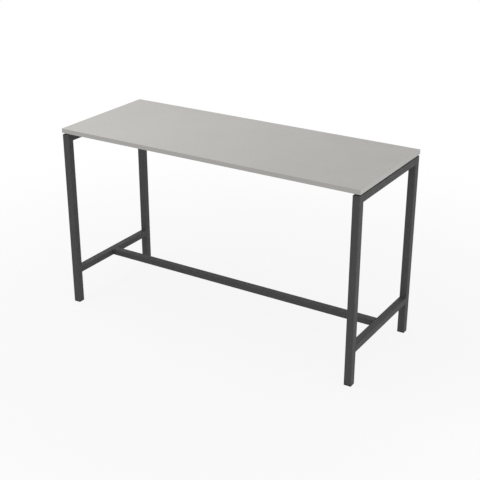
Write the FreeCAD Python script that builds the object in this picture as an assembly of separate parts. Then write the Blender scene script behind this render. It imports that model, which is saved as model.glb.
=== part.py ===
import FreeCAD, Part
import math
import os

# Standing meeting table: a laminated board on two welded end frames, which a low
# stretcher and two beams under the board hold apart.  Millimetres, +Z up, +X along
# the table, front towards -Y, origin on the floor under the middle of the board.

# Board
table_length = 1800.0
table_depth = 700.0
table_height = 1050.0
board_thickness = 25.0
laminate_thickness = 0.8
edging_thickness = 3.0
edging_round = 1.5
board_corner_round = 2.5

# End frames: square tube, mitred at the top corners
frame_inset = 2.0
board_gap = 8.0
tube_size = 40.0
tube_wall = 2.0
tube_round = 3.0

# Low bars: two cross bars and the stretcher between them
bar_width = 40.0
bar_height = 35.0
bar_bottom = 180.0

# Beams under the board: steel angle, upright leaf outwards, level leaf at the top
beam_height = 40.0
beam_leaf_width = 25.0
beam_leaf_thickness = 3.0
beam_root_round = 4.0
beam_spacing = 400.0
beam_plate_thickness = 5.0
beam_plate_length = 80.0
beam_plate_margin = 2.0
beam_bolt_spacing = 54.0

# Bolts through the beam plates, and the nut plates inside the rails
bolt_radius = 4.0
bolt_hex_width = 13.0
bolt_hex_height = 5.3
bolt_tip = 3.0
nut_plate_thickness = 5.0
nut_plate_height = 24.0

# Screws that hold the board down, their spacers and threaded inserts
screw_radius = 3.0
screw_head_radius = 6.0
screw_head_height = 3.6
screw_tip = 3.0
screw_bite = 11.0
beam_screw_inset = 75.0
beam_screw_count = 3
spacer_width = 20.0
rail_pad_spacing = 540.0
insert_radius = 5.0
insert_length = 13.0
insert_hole_spare = 2.0

# Spigots inside the stretcher's ends, and the screws from below that hold it on them
spigot_length = 70.0
spigot_wall = 3.0
spigot_clearance = 0.3
spigot_chamfer = 1.5
stretcher_screw_inset = 35.0

# Plugs in the leg ends, with a captive nut each
plug_flange_thickness = 2.0
plug_depth = 20.0
plug_clearance = 0.1
plug_wall = 2.0
plug_floor_thickness = 2.0
plug_rib_thickness = 2.0
plug_rib_height = 9.0
plug_chamfer = 1.0
plug_boss_width = 22.0
plug_boss_cap = 3.5
foot_nut_width = 13.0
foot_nut_height = 6.5
foot_nut_clearance = 0.05

# Levelling feet: a square pad that a threaded stem raises and lowers
pad_thickness = 4.0
pad_gap = 0.3
stem_thread_radius = 4.0
stem_thread_length = 22.0
stem_collar_width = 13.0
stem_collar_height = 4.0
stem_head_radius = 6.5
stem_head_thickness = 1.2
stem_head_recess = 0.5
collar_recess_radius = 8.2
collar_recess_depth = 5.0
head_pocket_clearance = 0.5
stem_play = 0.1

# Clearances of fasteners, and how far a cut runs past the face that it opens
hole_clearance = 0.3
thread_clearance = 0.05
cut_overrun = 1.0

# Heights and faces worked out from the sizes above
board_bottom = table_height - board_thickness
frame_top = board_bottom - board_gap
leg_bottom = pad_thickness + pad_gap + plug_flange_thickness
plug_bottom = pad_thickness + pad_gap
frame_half_length = table_length / 2 - frame_inset
frame_half_depth = table_depth / 2 - frame_inset
frame_inner_x = frame_half_length - tube_size
frame_inner_y = frame_half_depth - tube_size
leg_x = frame_half_length - tube_size / 2
leg_y = frame_half_depth - tube_size / 2
tube_bore = tube_size - 2 * tube_wall
beam_length = 2 * (frame_inner_x - beam_plate_thickness)
beam_screw_spacing = (beam_length - 2 * beam_screw_inset) / (beam_screw_count - 1)

vector = FreeCAD.Vector
up = vector(0, 0, 1)
# Sections are drawn with their width along X and their height along Y.
lying_along_x = FreeCAD.Rotation(vector(0, 1, 0), vector(0, 0, 1), vector(1, 0, 0), "ZXY")
lying_along_y = FreeCAD.Rotation(vector(-1, 0, 0), vector(0, 0, 1), vector(0, 1, 0), "ZXY")
upright = FreeCAD.Rotation()
quarter_turn = FreeCAD.Rotation(up, 90)

ends = {"left": -1, "right": 1}
sides = {"front": -1, "rear": 1}


def save(name, shape):
    shape.exportStep("parts/" + name + ".step")


def moved(shape, x, y, z, rotation=upright):
    copy = shape.copy()
    copy.Placement = FreeCAD.Placement(vector(x, y, z), rotation)
    return copy


def block(width, depth, height):
    """A sharp block centred on the Z axis and standing on Z = 0."""
    return Part.makeBox(width, depth, height, vector(-width / 2, -depth / 2, 0))


def is_upright(edge):
    return edge.BoundBox.ZLength > edge.BoundBox.XLength + edge.BoundBox.YLength


def upright_edges(solid):
    return [edge for edge in solid.Edges if is_upright(edge)]


def rounded_prism(width, depth, radius, height):
    """A block with its upright edges rounded."""
    prism = block(width, depth, height)
    return prism.makeFillet(radius, upright_edges(prism))


def chamfered_prism(width, depth, chamfer, height):
    """A block with its upright edges chamfered."""
    prism = block(width, depth, height)
    return prism.makeChamfer(chamfer, upright_edges(prism))


def hexagon_prism(width_across_flats, height):
    """A hexagon standing on Z = 0, with two of its corners on the X axis."""
    corner_count = 6
    corner_radius = width_across_flats / 2 / math.cos(math.pi / corner_count)
    corners = []
    for index in range(corner_count + 1):
        angle = 2 * math.pi * index / corner_count
        corners.append(vector(corner_radius * math.cos(angle), corner_radius * math.sin(angle), 0))
    return Part.Face(Part.makePolygon(corners)).extrude(up * height)


def hollowed(outside, width, height, wall, length):
    """Bore an upright section from end to end, leaving its wall."""
    bore = block(width - 2 * wall, height - 2 * wall, length + 2 * cut_overrun)
    return outside.cut(moved(bore, 0, 0, -cut_overrun))


def rectangular_tube(width, height, wall, outer_round, length):
    """A tube that stands on Z = 0, with its section centred on the Z axis."""
    return hollowed(rounded_prism(width, height, outer_round, length), width, height, wall, length)


def cut_beyond(shape, point, normal):
    """What is left of a shape on the near side of a plane."""
    reach = shape.BoundBox.DiagonalLength
    waste = block(2 * reach, 2 * reach, reach)
    waste.Placement = FreeCAD.Placement(point, FreeCAD.Rotation(up, normal))
    return shape.cut(waste)


def upright_cylinder(radius, bottom, top, x=0.0, y=0.0):
    return Part.makeCylinder(radius, top - bottom, vector(x, y, bottom))


# Board -----------------------------------------------------------------------------


def board_envelope():
    """The finished board: upright corners rounded first, then both rims all round."""
    board = rounded_prism(table_length, table_depth, board_corner_round, board_thickness)
    rims = [edge for edge in board.Edges if not is_upright(edge)]
    return moved(board.makeFillet(edging_round, rims), 0, 0, board_bottom)


def board_sheet(bottom, top):
    """A flat layer of the board inside its edging."""
    length = table_length - 2 * edging_thickness
    depth = table_depth - 2 * edging_thickness
    return Part.makeBox(length, depth, top - bottom, vector(-length / 2, -depth / 2, bottom))


def board_screw_places():
    """Where the board is screwed to the beams, on the flat middle of their level leaves."""
    places = []
    first_x = beam_screw_inset - beam_length / 2
    flat_start = beam_leaf_thickness + beam_root_round
    for side in sides.values():
        y = side * (beam_spacing / 2 - (flat_start + beam_leaf_width) / 2)
        for index in range(beam_screw_count):
            places.append((first_x + index * beam_screw_spacing, y))
    return places


def without_insert_holes(layer, top):
    hole_radius = insert_radius + thread_clearance
    for x, y in board_screw_places():
        layer = layer.cut(upright_cylinder(hole_radius, board_bottom - cut_overrun, top, x, y))
    return layer


def make_core():
    bottom = board_bottom + laminate_thickness
    core = board_sheet(bottom, table_height - laminate_thickness)
    return without_insert_holes(core, board_bottom + insert_length + insert_hole_spare)


def make_top_laminate():
    return board_sheet(table_height - laminate_thickness, table_height)


def make_backing_laminate():
    top = board_bottom + laminate_thickness
    return without_insert_holes(board_sheet(board_bottom, top), top + cut_overrun)


def make_long_edging(side):
    """A strip along the whole front or rear edge, which covers the short strips' ends."""
    centre = side * (table_depth / 2 - edging_thickness / 2)
    corner = vector(-table_length / 2, centre - edging_thickness / 2, board_bottom)
    return board_envelope().common(Part.makeBox(table_length, edging_thickness, board_thickness, corner))


def make_short_edging(end):
    """A strip across one end, between the two long strips."""
    depth = table_depth - 2 * edging_thickness
    centre = end * (table_length / 2 - edging_thickness / 2)
    corner = vector(centre - edging_thickness / 2, -depth / 2, board_bottom)
    return board_envelope().common(Part.makeBox(edging_thickness, depth, board_thickness, corner))


# End frames ------------------------------------------------------------------------


def mitre_face(end, side):
    """A point on the mitre plane of an upper corner, and its normal from leg to rail."""
    return vector(end * leg_x, side * frame_half_depth, frame_top), vector(0, -side, 1)


def make_leg(end, side):
    tube = rectangular_tube(tube_size, tube_size, tube_wall, tube_round, frame_top - leg_bottom)
    point, towards_rail = mitre_face(end, side)
    return cut_beyond(moved(tube, end * leg_x, side * leg_y, leg_bottom), point, towards_rail)


def make_top_rail(end):
    tube = rectangular_tube(tube_size, tube_size, tube_wall, tube_round, 2 * frame_half_depth)
    rail = moved(tube, end * leg_x, -frame_half_depth, frame_top - tube_size / 2, lying_along_y)
    for side in sides.values():
        point, towards_rail = mitre_face(end, side)
        rail = cut_beyond(rail, point, -towards_rail)
        for y in beam_bolt_places(side):
            rail = rail.cut(bolt_hole(end, y, bolt_radius + hole_clearance))
    return rail


def make_cross_bar(end):
    tube = rectangular_tube(bar_width, bar_height, tube_wall, tube_round, 2 * frame_inner_y)
    centre_x = end * (frame_inner_x + bar_width / 2)
    return moved(tube, centre_x, -frame_inner_y, bar_bottom + bar_height / 2, lying_along_y)


# Stretcher -------------------------------------------------------------------------


def stretcher_screw_place(end):
    return end * (frame_inner_x - stretcher_screw_inset)


def make_stretcher():
    tube = rectangular_tube(bar_width, bar_height, tube_wall, tube_round, 2 * frame_inner_x)
    bar = moved(tube, -frame_inner_x, 0, bar_bottom + bar_height / 2, lying_along_x)
    for end in ends.values():
        hole = upright_cylinder(screw_radius + hole_clearance, bar_bottom - cut_overrun,
                                bar_bottom + tube_wall + cut_overrun, stretcher_screw_place(end))
        bar = bar.cut(hole)
    return bar


def make_stretcher_spigot(end):
    """A short tube welded to the cross bar, which the stretcher slips over."""
    width = bar_width - 2 * tube_wall - 2 * spigot_clearance
    height = bar_height - 2 * tube_wall - 2 * spigot_clearance
    outside = chamfered_prism(width, height, spigot_chamfer, spigot_length)
    tube = hollowed(outside, width, height, spigot_wall, spigot_length)
    start = min(end * frame_inner_x, end * (frame_inner_x - spigot_length))
    spigot = moved(tube, start, 0, bar_bottom + bar_height / 2, lying_along_x)
    lower_face = bar_bottom + tube_wall + spigot_clearance
    hole = upright_cylinder(screw_radius + thread_clearance, lower_face - cut_overrun,
                            lower_face + spigot_wall + cut_overrun, stretcher_screw_place(end))
    return spigot.cut(hole)


def headed_screw(length):
    """A screw that points up, with its head's seat on Z = 0."""
    shank = upright_cylinder(screw_radius, 0, length)
    head = upright_cylinder(screw_head_radius, -screw_head_height, 0)
    return shank.fuse(head)


def make_stretcher_screws():
    """One screw near each end of the stretcher, from below through it and its spigot."""
    screw = headed_screw(tube_wall + spigot_clearance + spigot_wall + screw_tip)
    places = [stretcher_screw_place(end) for end in ends.values()]
    return Part.makeCompound([moved(screw, x, 0, bar_bottom) for x in places])


# Beams and what holds the board ----------------------------------------------------


def beam_bolt_places(side):
    """The y places of a beam's two bolts."""
    centre = side * beam_spacing / 2
    return centre - beam_bolt_spacing / 2, centre + beam_bolt_spacing / 2


def bolt_height():
    return frame_top - beam_height / 2


def bolt_hole(end, y, radius):
    """What a drill takes out along a bolt, from inside the beam plate into the rail."""
    start = vector(end * (frame_inner_x - beam_plate_thickness - cut_overrun), y, bolt_height())
    reach = beam_plate_thickness + tube_wall + nut_plate_thickness + 2 * cut_overrun
    return Part.makeCylinder(radius, reach, start, vector(end, 0, 0))


def make_beam(side):
    """A steel angle between the end plates; its level leaf points to the middle."""
    def outline_point(across, down):
        return vector(-beam_length / 2, side * (beam_spacing / 2 - across), frame_top - down)

    root_end = beam_leaf_thickness + beam_root_round
    root_middle = root_end - beam_root_round * math.cos(math.pi / 4)
    straight_edges = Part.makePolygon([
        outline_point(beam_leaf_thickness, root_end),
        outline_point(beam_leaf_thickness, beam_height),
        outline_point(0, beam_height),
        outline_point(0, 0),
        outline_point(beam_leaf_width, 0),
        outline_point(beam_leaf_width, beam_leaf_thickness),
        outline_point(root_end, beam_leaf_thickness),
    ])
    root = Part.Arc(outline_point(root_end, beam_leaf_thickness),
                    outline_point(root_middle, root_middle),
                    outline_point(beam_leaf_thickness, root_end))
    outline = Part.Wire(straight_edges.Edges + [root.toShape()])
    beam = Part.Face(outline).extrude(vector(beam_length, 0, 0))
    leaf_bottom = frame_top - beam_leaf_thickness
    for x, y in board_screw_places():
        beam = beam.cut(upright_cylinder(screw_radius + hole_clearance, leaf_bottom - cut_overrun,
                                         frame_top + cut_overrun, x, y))
    return beam


def make_beam_plate(end, side):
    """The plate welded across a beam's end and bolted to the top rail."""
    height = beam_height - 2 * beam_plate_margin
    centre_x = end * (frame_inner_x - beam_plate_thickness / 2)
    plate = block(beam_plate_thickness, beam_plate_length, height)
    plate = moved(plate, centre_x, side * beam_spacing / 2, bolt_height() - height / 2)
    for y in beam_bolt_places(side):
        plate = plate.cut(bolt_hole(end, y, bolt_radius + hole_clearance))
    return plate


def make_nut_plate(end, side):
    """A tapped plate welded inside the top rail, behind the wall that the bolts pass."""
    centre_x = end * (frame_inner_x + tube_wall + nut_plate_thickness / 2)
    plate = block(nut_plate_thickness, beam_plate_length, nut_plate_height)
    plate = moved(plate, centre_x, side * beam_spacing / 2, bolt_height() - nut_plate_height / 2)
    for y in beam_bolt_places(side):
        plate = plate.cut(bolt_hole(end, y, bolt_radius + thread_clearance))
    return plate


def make_beam_bolts():
    """Two bolts through each end plate into the nut plate, heads towards the middle."""
    reach = beam_plate_thickness + tube_wall + nut_plate_thickness + bolt_tip
    head = moved(hexagon_prism(bolt_hex_width, bolt_hex_height), 0, 0, -bolt_hex_height)
    bolt = head.fuse(upright_cylinder(bolt_radius, 0, reach))
    bolts = []
    for end in ends.values():
        seat_x = end * (frame_inner_x - beam_plate_thickness)
        pointing_out = FreeCAD.Rotation(up, vector(end, 0, 0))
        for side in sides.values():
            for y in beam_bolt_places(side):
                bolts.append(moved(bolt, seat_x, y, bolt_height(), pointing_out))
    return Part.makeCompound(bolts)


def make_board_screws():
    """Screws up through the beams and spacers into the board."""
    underside = frame_top - beam_leaf_thickness
    screw = headed_screw(board_bottom + screw_bite - underside)
    return Part.makeCompound([moved(screw, x, y, underside) for x, y in board_screw_places()])


def make_board_spacers():
    """A drilled block round each screw, between the beam and the board."""
    bore = upright_cylinder(screw_radius + hole_clearance, -cut_overrun, board_gap + cut_overrun)
    spacer = block(spacer_width, spacer_width, board_gap).cut(bore)
    return Part.makeCompound([moved(spacer, x, y, frame_top) for x, y in board_screw_places()])


def make_rail_pads():
    """Plain pads on the top rails, which the board's ends rest on."""
    pad = block(spacer_width, spacer_width, board_gap)
    pads = []
    for end in ends.values():
        for side in sides.values():
            pads.append(moved(pad, end * leg_x, side * rail_pad_spacing / 2, frame_top))
    return Part.makeCompound(pads)


def make_board_inserts():
    """A threaded bush for each screw, flush with the board's underside."""
    bore = upright_cylinder(screw_radius + thread_clearance, -cut_overrun, insert_length + cut_overrun)
    bush = upright_cylinder(insert_radius, 0, insert_length).cut(bore)
    return Part.makeCompound([moved(bush, x, y, board_bottom) for x, y in board_screw_places()])


# Leg ends and feet -----------------------------------------------------------------


def make_leg_plug(end, side):
    """A moulded cup with a flange, ribs and a hexagonal boss that holds the foot's nut."""
    body_width = tube_bore - 2 * plug_clearance
    cup_width = body_width - 2 * plug_wall
    flange = rounded_prism(tube_size, tube_size, tube_round, plug_flange_thickness)
    body = chamfered_prism(body_width, body_width, plug_chamfer, plug_flange_thickness + plug_depth)
    cup_floor = plug_flange_thickness + plug_floor_thickness
    plug = flange.fuse(body).cut(moved(block(cup_width, cup_width, plug_depth), 0, 0, cup_floor))
    rib = Part.makeBox(body_width - plug_wall, plug_rib_thickness, plug_rib_height,
                       vector(-(body_width - plug_wall) / 2, -plug_rib_thickness / 2, cup_floor))
    boss_top = collar_recess_depth + foot_nut_height + plug_boss_cap
    boss = hexagon_prism(plug_boss_width, boss_top)
    plug = plug.fuse([rib, moved(rib, 0, 0, 0, quarter_turn), boss])
    plug = plug.cut(upright_cylinder(collar_recess_radius, -cut_overrun, collar_recess_depth))
    nut_pocket = hexagon_prism(foot_nut_width + 2 * foot_nut_clearance, foot_nut_height)
    plug = plug.cut(moved(nut_pocket, 0, 0, collar_recess_depth))
    plug = plug.cut(upright_cylinder(stem_thread_radius + hole_clearance, 0, boss_top + cut_overrun))
    return moved(plug.removeSplitter(), end * leg_x, side * leg_y, plug_bottom)


def make_foot_nuts():
    """A nut in each plug's pocket."""
    bore = upright_cylinder(stem_thread_radius + thread_clearance, -cut_overrun,
                            foot_nut_height + cut_overrun)
    nut = hexagon_prism(foot_nut_width, foot_nut_height).cut(bore)
    bottom = plug_bottom + collar_recess_depth
    nuts = []
    for end in ends.values():
        for side in sides.values():
            nuts.append(moved(nut, end * leg_x, side * leg_y, bottom))
    return Part.makeCompound(nuts)


def head_pocket_depth():
    return stem_head_recess + stem_head_thickness + stem_play


def make_foot_stem(end, side):
    """A threaded stem: riveted head under the pad, hexagon collar above it."""
    collar_bottom = pad_thickness + stem_play
    thread_top = collar_bottom + stem_collar_height + stem_thread_length
    thread = upright_cylinder(stem_thread_radius, stem_head_recess, thread_top)
    head = upright_cylinder(stem_head_radius, stem_head_recess, stem_head_recess + stem_head_thickness)
    collar = moved(hexagon_prism(stem_collar_width, stem_collar_height), 0, 0, collar_bottom)
    stem = thread.fuse([head, collar])
    return moved(stem.removeSplitter(), end * leg_x, side * leg_y, 0)


def make_foot_pad(end, side):
    """A square pad under the leg, with a pocket below for the stem's head."""
    pad = rounded_prism(tube_size, tube_size, tube_round, pad_thickness)
    pad = pad.cut(upright_cylinder(stem_thread_radius + stem_play, -cut_overrun,
                                   pad_thickness + cut_overrun))
    pocket_radius = stem_head_radius + head_pocket_clearance
    pad = pad.cut(upright_cylinder(pocket_radius, -cut_overrun, head_pocket_depth()))
    return moved(pad, end * leg_x, side * leg_y, 0)


# All pieces ------------------------------------------------------------------------


def main():
    os.makedirs("parts", exist_ok=True)
    save("board_core", make_core())
    save("board_top_laminate", make_top_laminate())
    save("board_backing_laminate", make_backing_laminate())
    save("stretcher", make_stretcher())
    save("stretcher_screws", make_stretcher_screws())
    save("beam_bolts", make_beam_bolts())
    save("board_spacers", make_board_spacers())
    save("rail_pads", make_rail_pads())
    save("board_screws", make_board_screws())
    save("board_inserts", make_board_inserts())
    save("foot_nuts", make_foot_nuts())
    for side_name, side in sides.items():
        save("edging_" + side_name, make_long_edging(side))
        save("beam_" + side_name, make_beam(side))
    for end_name, end in ends.items():
        save("edging_" + end_name, make_short_edging(end))
        save("top_rail_" + end_name, make_top_rail(end))
        save("cross_bar_" + end_name, make_cross_bar(end))
        save("stretcher_spigot_" + end_name, make_stretcher_spigot(end))
        for side_name, side in sides.items():
            place = side_name + "_" + end_name
            save("leg_" + place, make_leg(end, side))
            save("beam_plate_" + place, make_beam_plate(end, side))
            save("nut_plate_" + place, make_nut_plate(end, side))
            save("leg_plug_" + place, make_leg_plug(end, side))
            save("foot_stem_" + place, make_foot_stem(end, side))
            save("foot_pad_" + place, make_foot_pad(end, side))


main()
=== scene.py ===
import math

import bmesh
import bpy
from bpy.props import FloatProperty, FloatVectorProperty, IntProperty, PointerProperty
from mathutils import Euler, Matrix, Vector


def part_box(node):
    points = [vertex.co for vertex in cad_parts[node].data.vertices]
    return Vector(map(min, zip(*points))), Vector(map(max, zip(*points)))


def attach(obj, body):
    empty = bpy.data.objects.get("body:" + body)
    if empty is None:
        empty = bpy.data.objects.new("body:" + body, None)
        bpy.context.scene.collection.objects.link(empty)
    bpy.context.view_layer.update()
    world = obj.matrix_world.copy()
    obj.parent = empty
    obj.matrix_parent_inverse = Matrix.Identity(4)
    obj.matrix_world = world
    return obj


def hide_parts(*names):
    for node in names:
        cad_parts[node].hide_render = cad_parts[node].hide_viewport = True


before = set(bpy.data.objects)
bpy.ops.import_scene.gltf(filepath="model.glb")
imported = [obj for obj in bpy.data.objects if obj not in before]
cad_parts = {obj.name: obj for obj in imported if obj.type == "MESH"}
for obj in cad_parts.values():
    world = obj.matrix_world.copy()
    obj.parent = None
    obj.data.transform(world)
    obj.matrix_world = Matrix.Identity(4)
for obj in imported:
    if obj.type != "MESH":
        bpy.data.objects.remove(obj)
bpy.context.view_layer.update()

bl_info = {
    "name": "Standing Meeting Table",
    "version": (1, 0, 0),
    "blender": (4, 5, 0),
    "location": "3D Viewport > Sidebar > Table",
    "description": "Finishes a bar-height meeting table: board, steel frame, fasteners and feet",
    "category": "Object",
}

# Everything is in metres, +Z up, with the origin on the floor under the middle of the board.
# The CAD nodes are named by the table's side, then its end, as in leg_front_left.
millimetre = 0.001
sides = {"front": -1, "rear": 1}
ends = {"left": -1, "right": 1}
places = [(side, end) for end in ends for side in sides]
up = (0.0, 0.0, 1.0)
table_body = "table"


# Settings --------------------------------------------------------------------------


def length_setting(name, description, default):
    return FloatProperty(name=name, description=description, default=default, min=0.0,
                         precision=5, subtype="DISTANCE", unit="LENGTH")


def small_setting(name, description, millimetres):
    """A length whose default is given in millimetres."""
    return length_setting(name, description, millimetres * millimetre)


def place_setting(name, description, default):
    return FloatVectorProperty(name=name, description=description, default=default, size=3,
                               subtype="XYZ", unit="LENGTH")


def colour_setting(name, description, default):
    return FloatVectorProperty(name=name, description=description, default=default, size=3,
                               min=0.0, max=1.0, subtype="COLOR")


def angle_setting(name, description, degrees):
    return FloatProperty(name=name, description=description, default=math.radians(degrees),
                         subtype="ANGLE")


def power_setting(name, description, default):
    return FloatProperty(name=name, description=description, default=default, min=0.0,
                         subtype="POWER", unit="POWER")


def share_setting(name, description, default):
    return FloatProperty(name=name, description=description, default=default, min=0.0, max=1.0,
                         subtype="FACTOR")


def seed_setting(name, description, default):
    return IntProperty(name=name, description=description, default=default, min=0)


class BoardSettings(bpy.types.PropertyGroup):
    laminate_colour: colour_setting(
        "Laminate", "Warm grey of the decorative sheet", (0.497, 0.484, 0.461))
    edging_colour: colour_setting(
        "Edging", "Grey of the plastic strips round the board", (0.528, 0.518, 0.497))
    backing_colour: colour_setting(
        "Backing", "Grey of the plain sheet under the board", (0.330, 0.322, 0.310))
    chip_colour: colour_setting(
        "Chipboard", "Mean colour of the raw core", (0.420, 0.290, 0.165))
    joint_width: small_setting("Joint width", "Bevel along the edges where two layers meet", 0.12)


class SteelworkSettings(bpy.types.PropertyGroup):
    paint_colour: colour_setting(
        "Powder coat", "Anthracite of the painted steel", (0.079, 0.079, 0.080))
    bare_colour: colour_setting(
        "Bare steel", "Steel that the paint doesn't reach", (0.300, 0.300, 0.305))
    tube_wall: small_setting("Tube wall", "Thickness of the tubes' walls", 2.0)
    tube_round: small_setting("Tube round", "Outer rounding of the tubes' corners", 3.0)
    tube_arris: small_setting("Tube arris", "How far the cut ends of the tubes are dressed", 0.2)
    plate_arris: small_setting(
        "Plate arris", "How far the edges of plates and angles are dressed", 0.5)
    angle_thickness: small_setting("Angle thickness", "Thickness of the beams' steel angle", 3.0)
    weld_throat: small_setting("Weld throat", "Radius of the weld beads", 2.4)
    weld_ripple: small_setting("Weld ripple", "Distance from one ripple of a bead to the next", 1.6)
    weld_ripple_height: share_setting(
        "Weld ripple height", "Height of the ripples, as a share of the throat", 0.018)
    weld_unevenness: share_setting(
        "Weld unevenness", "How much a bead's throat swells and shrinks along it", 0.22)
    weld_seed: seed_setting("Weld seed", "Seed for where the beads swell and shrink", 0)
    tube_weld_inset: small_setting(
        "Tube weld inset", "How far a bead stops short of a tube's sides", 3.5)
    plate_weld_inset: small_setting(
        "Plate weld inset", "How far a bead stops short of an angle's edges", 1.5)


class FastenerSettings(bpy.types.PropertyGroup):
    zinc_colour: colour_setting(
        "Zinc", "Zinc plating of screws, bolts and nuts", (0.560, 0.570, 0.580))
    bolt_radius: small_setting("Bolt radius", "Radius of the beams' bolts", 4.0)
    bolt_head_width: small_setting("Bolt head width", "Across the flats of the bolts' heads", 13.0)
    bolt_head_height: small_setting("Bolt head height", "Height of the bolts' heads", 5.3)
    bolt_pitch: small_setting("Bolt pitch", "Pitch of the M8 threads", 1.25)
    bolt_thread_depth: small_setting("Bolt thread", "Depth of the M8 threads", 0.6)
    nut_bore: small_setting("Nut bore", "Radius of the hole in the captive nuts", 4.05)
    screw_radius: small_setting("Screw radius", "Radius of the socket screws", 3.0)
    screw_head_height: small_setting("Screw head height", "Height of the screws' domed heads", 3.6)
    screw_pitch: small_setting("Screw pitch", "Pitch of the M6 threads", 1.0)
    screw_thread_depth: small_setting("Screw thread", "Depth of the M6 threads", 0.5)
    socket_width: small_setting("Socket width", "Across the flats of the screws' sockets", 4.0)
    socket_depth: small_setting("Socket depth", "Depth of the screws' sockets", 2.2)
    insert_bore: small_setting("Insert bore", "Radius of the hole in the inserts", 3.05)
    insert_pitch: small_setting("Insert pitch", "Pitch of the thread that bites the board", 2.5)
    insert_thread_depth: small_setting("Insert thread", "Depth of that thread", 0.8)
    hole_clearance: small_setting(
        "Hole clearance", "How much wider than its fastener a hole's radius is", 0.3)
    roll_seed: seed_setting("Roll seed", "Seed for how far each fastener is turned", 7)


class FootSettings(bpy.types.PropertyGroup):
    plastic_colour: colour_setting(
        "Moulded plastic", "Black of the feet, plugs, pads and spacers", (0.0060, 0.0060, 0.0063))
    moulded_arris: small_setting("Moulded arris", "Rounding of the moulded pieces' edges", 0.45)
    plug_arris: small_setting("Plug arris", "Rounding of the finer edges of the legs' plugs", 0.25)
    collar_width: small_setting("Collar width", "Across the flats of the stem's collar", 13.0)
    collar_height: small_setting("Collar height", "Height of that collar", 4.0)
    collar_gap: small_setting("Collar gap", "Play between the collar and the pad below it", 0.1)
    rivet_radius: small_setting(
        "Rivet radius", "Radius of the stem's riveted head under the pad", 6.5)
    rivet_height: small_setting("Rivet height", "Height of that head", 1.2)


class StudioSettings(bpy.types.PropertyGroup):
    lens: FloatProperty(
        name="Lens", description="Focal length on a 36 mm sensor", default=75.2, min=1.0,
        subtype="DISTANCE_CAMERA")
    camera_place: place_setting("Camera", "Where the camera stands", (2.712, -4.288, 2.671))
    camera_tilt: angle_setting("Tilt", "How far the camera looks down", 23.497)
    camera_turn: angle_setting("Turn", "How far the camera turns to the left of +Y", 32.041)
    fill_strength: FloatProperty(
        name="Fill", description="Brightness of the surroundings", default=0.62, min=0.0)
    top_power: power_setting("Top lamp", "Power of the softbox above the board", 14.0)
    top_place: place_setting("Top lamp's place", "Where that softbox hangs", (-1.1, -0.55, 2.8))
    top_aim: place_setting("Top lamp's aim", "What that softbox points at", (-0.8, -0.4, 1.0))
    top_width: length_setting("Top lamp's width", "Side of that square softbox", 1.4)
    right_power: power_setting("Right lamp", "Power of the strip beside the right end", 2.9)
    right_place: place_setting("Right lamp's place", "Where that strip stands", (2.0, -0.5, 0.95))
    right_aim: place_setting("Right lamp's aim", "What that strip points at", (0.9, -0.2, 0.9))
    right_width: length_setting("Right lamp's width", "Width of that strip", 0.5)
    right_height: length_setting("Right lamp's height", "Height of that strip", 1.3)
    floor_reach: length_setting("Floor reach", "How far the floor goes on each way", 40.0)
    floor_glow: share_setting(
        "Floor glow", "How much of the floor's white is its own, which softens the shadow", 0.86)
    glow_start: length_setting(
        "Glow start", "How far from the middle of the table the floor starts to turn white", 1.1)
    glow_end: length_setting("Glow end", "How far from there the floor is all white", 3.2)


def settings_of(name):
    return getattr(bpy.context.scene, "standing_table_" + name)


# Nodes, in shaders and in geometry -------------------------------------------------

node_spacing = 200


def add_node(tree, kind, inputs=None, **options):
    """A node with its options set and its inputs linked or filled, by name or by number.

    Nodes stand in one row, in the order in which they are made.
    """
    node = tree.nodes.new(kind)
    node.location = (node_spacing * len(tree.nodes), 0)
    for name, value in options.items():
        setattr(node, name, value)
    for name, value in (inputs or {}).items():
        if isinstance(value, bpy.types.NodeSocket):
            tree.links.new(value, node.inputs[name])
        else:
            node.inputs[name].default_value = value
    return node


def calculate(tree, operation, first, second=0.0):
    return add_node(tree, "ShaderNodeMath", {0: first, 1: second}, operation=operation).outputs[0]


def plus(tree, first, second):
    return calculate(tree, "ADD", first, second)


def minus(tree, first, second):
    return calculate(tree, "SUBTRACT", first, second)


def times(tree, first, second):
    return calculate(tree, "MULTIPLY", first, second)


def over(tree, first, second):
    return calculate(tree, "DIVIDE", first, second)


def eased_map(tree, value, **limits):
    return add_node(tree, "ShaderNodeMapRange", {"Value": value, **limits},
                    interpolation_type="SMOOTHSTEP").outputs[0]


def start_tree(name, tree_kind, inputs, outputs):
    """A node tree with named sockets of given kinds, and its input and output nodes' sockets."""
    tree = bpy.data.node_groups.new(name, tree_kind)
    for way, sockets in (("INPUT", inputs), ("OUTPUT", outputs)):
        for socket, kind in sockets.items():
            tree.interface.new_socket(name=socket, in_out=way, socket_type="NodeSocket" + kind)
    return tree, add_node(tree, "NodeGroupInput").outputs, add_node(tree, "NodeGroupOutput").inputs


# Shader groups ---------------------------------------------------------------------

noise_roughness = 0.55
pebbles_per_wave = 5.0
# The pebbled height at which the painted pit shade neither darkens nor pales the colour
mean_pebble_height = 0.72
patch_starts, patch_is_full = 0.42, 0.62


def tinted(tree, colour, amount):
    """A colour times a value."""
    return add_node(tree, "ShaderNodeVectorMath", {0: colour, "Scale": amount},
                    operation="SCALE").outputs["Vector"]


def mixed_colour(tree, share, first, second):
    """The Mix node's colour sockets are its inputs 6 and 7 and its output 2."""
    return add_node(tree, "ShaderNodeMix", {0: share, 6: first, 7: second},
                    data_type="RGBA").outputs[2]


def mixed_value(tree, share, first, second):
    """The Mix node's value sockets are its inputs 2 and 3 and its output 0."""
    return add_node(tree, "ShaderNodeMix", {0: share, 2: first, 3: second}).outputs[0]


def opaque(colour):
    return (*colour, 1.0)


def start_group(name, inputs, **outputs):
    return start_tree(name, "ShaderNodeTree", inputs, outputs)


def swing(group, noise, amount):
    """A value that swings about 1 as a noise from 0 to 1 swings about its middle."""
    centred = minus(group, noise, 0.5)
    return plus(group, times(group, centred, amount), 1.0)


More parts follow.
